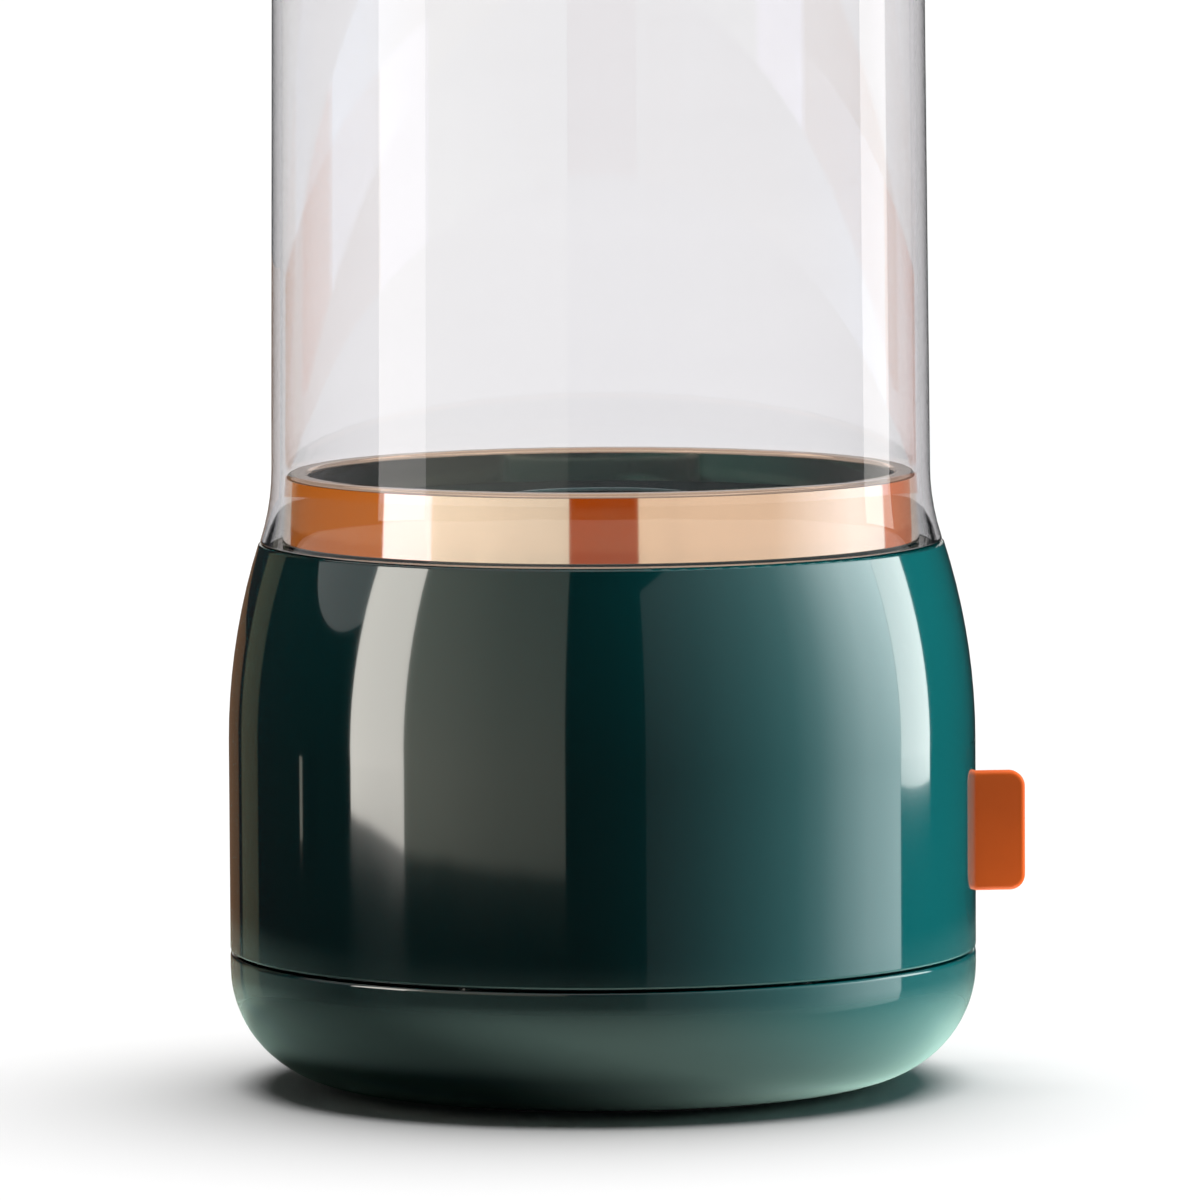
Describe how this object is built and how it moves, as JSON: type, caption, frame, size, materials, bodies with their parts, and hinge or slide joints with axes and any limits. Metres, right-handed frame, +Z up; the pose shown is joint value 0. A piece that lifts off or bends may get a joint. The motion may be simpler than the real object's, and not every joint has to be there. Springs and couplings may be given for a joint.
{
  "type": "rotating makeup brush holder",
  "caption": "Round makeup brush holder that turns on a low bowl base, with a divided brush cup, a plated rim, a clear lift-off cover and a side drawer with a pull tab.",
  "frame": {"origin": "centre of the foot pad's underside, on the table and on the turning axis", "axes": "+Z up along the turning axis, +X the way the drawer opens"},
  "size_m": [0.1436, 0.134, 0.266],
  "materials": {
    "green_gloss": "deep teal green, high gloss moulded",
    "green_satin": "deep teal green, satin moulded",
    "rose_gold": "plastic with rose-gold mirror plating",
    "clear": "clear moulded plastic",
    "terracotta": "terracotta orange, soft satin",
    "rubber": "matt black non-slip rubber",
    "black_plastic": "black moulded plastic",
    "white_plastic": "natural white low-friction plastic",
    "steel": "zinc-plated steel"
  },
  "bodies": {
    "base": {"base_bowl": "green_gloss", "rubber_foot_pad": "rubber", "lower_race": "black_plastic", "lower_race_screws": "steel", "pivot_bolt": "steel", "pivot_washer": "steel", "pivot_nut": "steel"},
    "bearing": {"ball_cage": "white_plastic", "bearing_balls": "steel"},
    "turntable": {"upper_race": "black_plastic", "upper_race_screws": "steel", "body_floor": "black_plastic", "floor_screws": "steel", "body_shell": "green_gloss", "drawer_rails": "white_plastic", "rail_screws": "steel", "brush_cup": "green_satin", "divider": "green_satin", "rim_ring": "rose_gold"},
    "drawer": {"drawer_tray": "green_satin", "drawer_front": "green_gloss", "drawer_front_screws": "steel", "pull_tab": "terracotta"},
    "cover": {"clear_cover": "clear"}
  },
  "joints": [
    {"name": "body_turn", "type": "hinge", "parent": "base", "child": "turntable", "pos_m": [0, 0, 0.02025], "axis": [0, 0, 1], "continuous": true},
    {"name": "cage_turn", "type": "hinge", "parent": "base", "child": "bearing", "pos_m": [0, 0, 0.02025], "axis": [0, 0, 1], "continuous": true},
    {"name": "drawer_slide", "type": "slide", "parent": "turntable", "child": "drawer", "axis": [1, 0, 0], "range_m": [0, 0.06]},
    {"name": "cover_lift", "type": "slide", "parent": "turntable", "child": "cover", "axis": [0, 0, 1], "range_m": [0, 0.17]}
  ],
  "couplings": [
    {"joint": "cage_turn", "follows": "body_turn", "ratio": 0.5}
  ]
}
